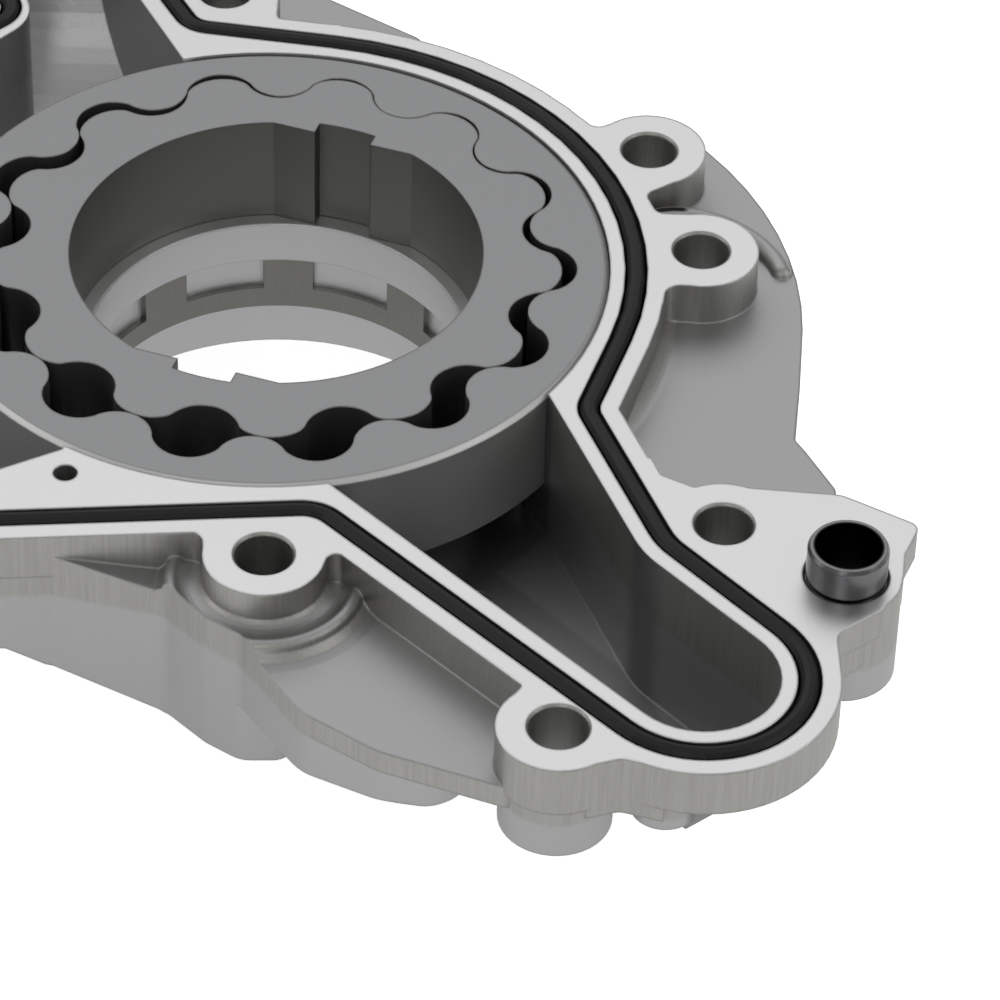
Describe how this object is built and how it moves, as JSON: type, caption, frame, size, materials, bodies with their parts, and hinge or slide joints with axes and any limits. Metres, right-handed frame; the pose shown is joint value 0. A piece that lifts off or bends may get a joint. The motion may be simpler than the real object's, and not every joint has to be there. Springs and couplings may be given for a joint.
{
  "type": "engine oil pump",
  "caption": "Crank-driven internal-rotor engine oil pump: a light-alloy housing with inlet and outlet passages, a face seal, two meshing rotors and a relief valve.",
  "frame": {"origin": "on the crank axis at the mouth of the front seal bore", "axes": "+Z along the crank axis, out of the sealing face towards the engine; +X to the picture's right"},
  "size_m": [0.1572, 0.1695, 0.0446],
  "materials": {
    "cast_housing": "machined on the sealing face, blasted elsewhere",
    "sintered_rotor": "ground satin",
    "seal_rubber": "smooth",
    "ring_steel": "turned",
    "dowel_steel": "ground",
    "spring_steel": "drawn wire",
    "plug_steel": "plated",
    "washer_metal": "soft"
  },
  "bodies": {
    "case": {"housing": "cast_housing", "castellated_ring": "ring_steel", "dowel_sleeve_right": "dowel_steel", "dowel_sleeve_left": "dowel_steel", "relief_plug": "plug_steel", "relief_plug_washer": "washer_metal", "face_seal": "seal_rubber", "relief_spring": "spring_steel"},
    "outer_rotor": {"outer_rotor": "sintered_rotor"},
    "inner_rotor": {"inner_rotor": "sintered_rotor"},
    "relief_piston": {"relief_piston": "dowel_steel"}
  },
  "joints": [
    {"name": "outer_rotor_turn", "type": "hinge", "parent": "case", "child": "outer_rotor", "pos_m": [-0.00103, -0.00217, 0.0324], "axis": [0, 0, 1], "continuous": true},
    {"name": "inner_rotor_turn", "type": "hinge", "parent": "case", "child": "inner_rotor", "pos_m": [0, 0, 0.0324], "axis": [0, 0, 1], "continuous": true},
    {"name": "relief_piston_slide", "type": "slide", "parent": "case", "child": "relief_piston", "axis": [1, 0, 0], "range_m": [0, 0.008], "stiffness_N_per_m": 5000, "springref_m": -0.013, "deforming": ["relief_spring"]}
  ],
  "couplings": [
    {"joint": "inner_rotor_turn", "follows": "outer_rotor_turn", "ratio": 1.0769}
  ]
}
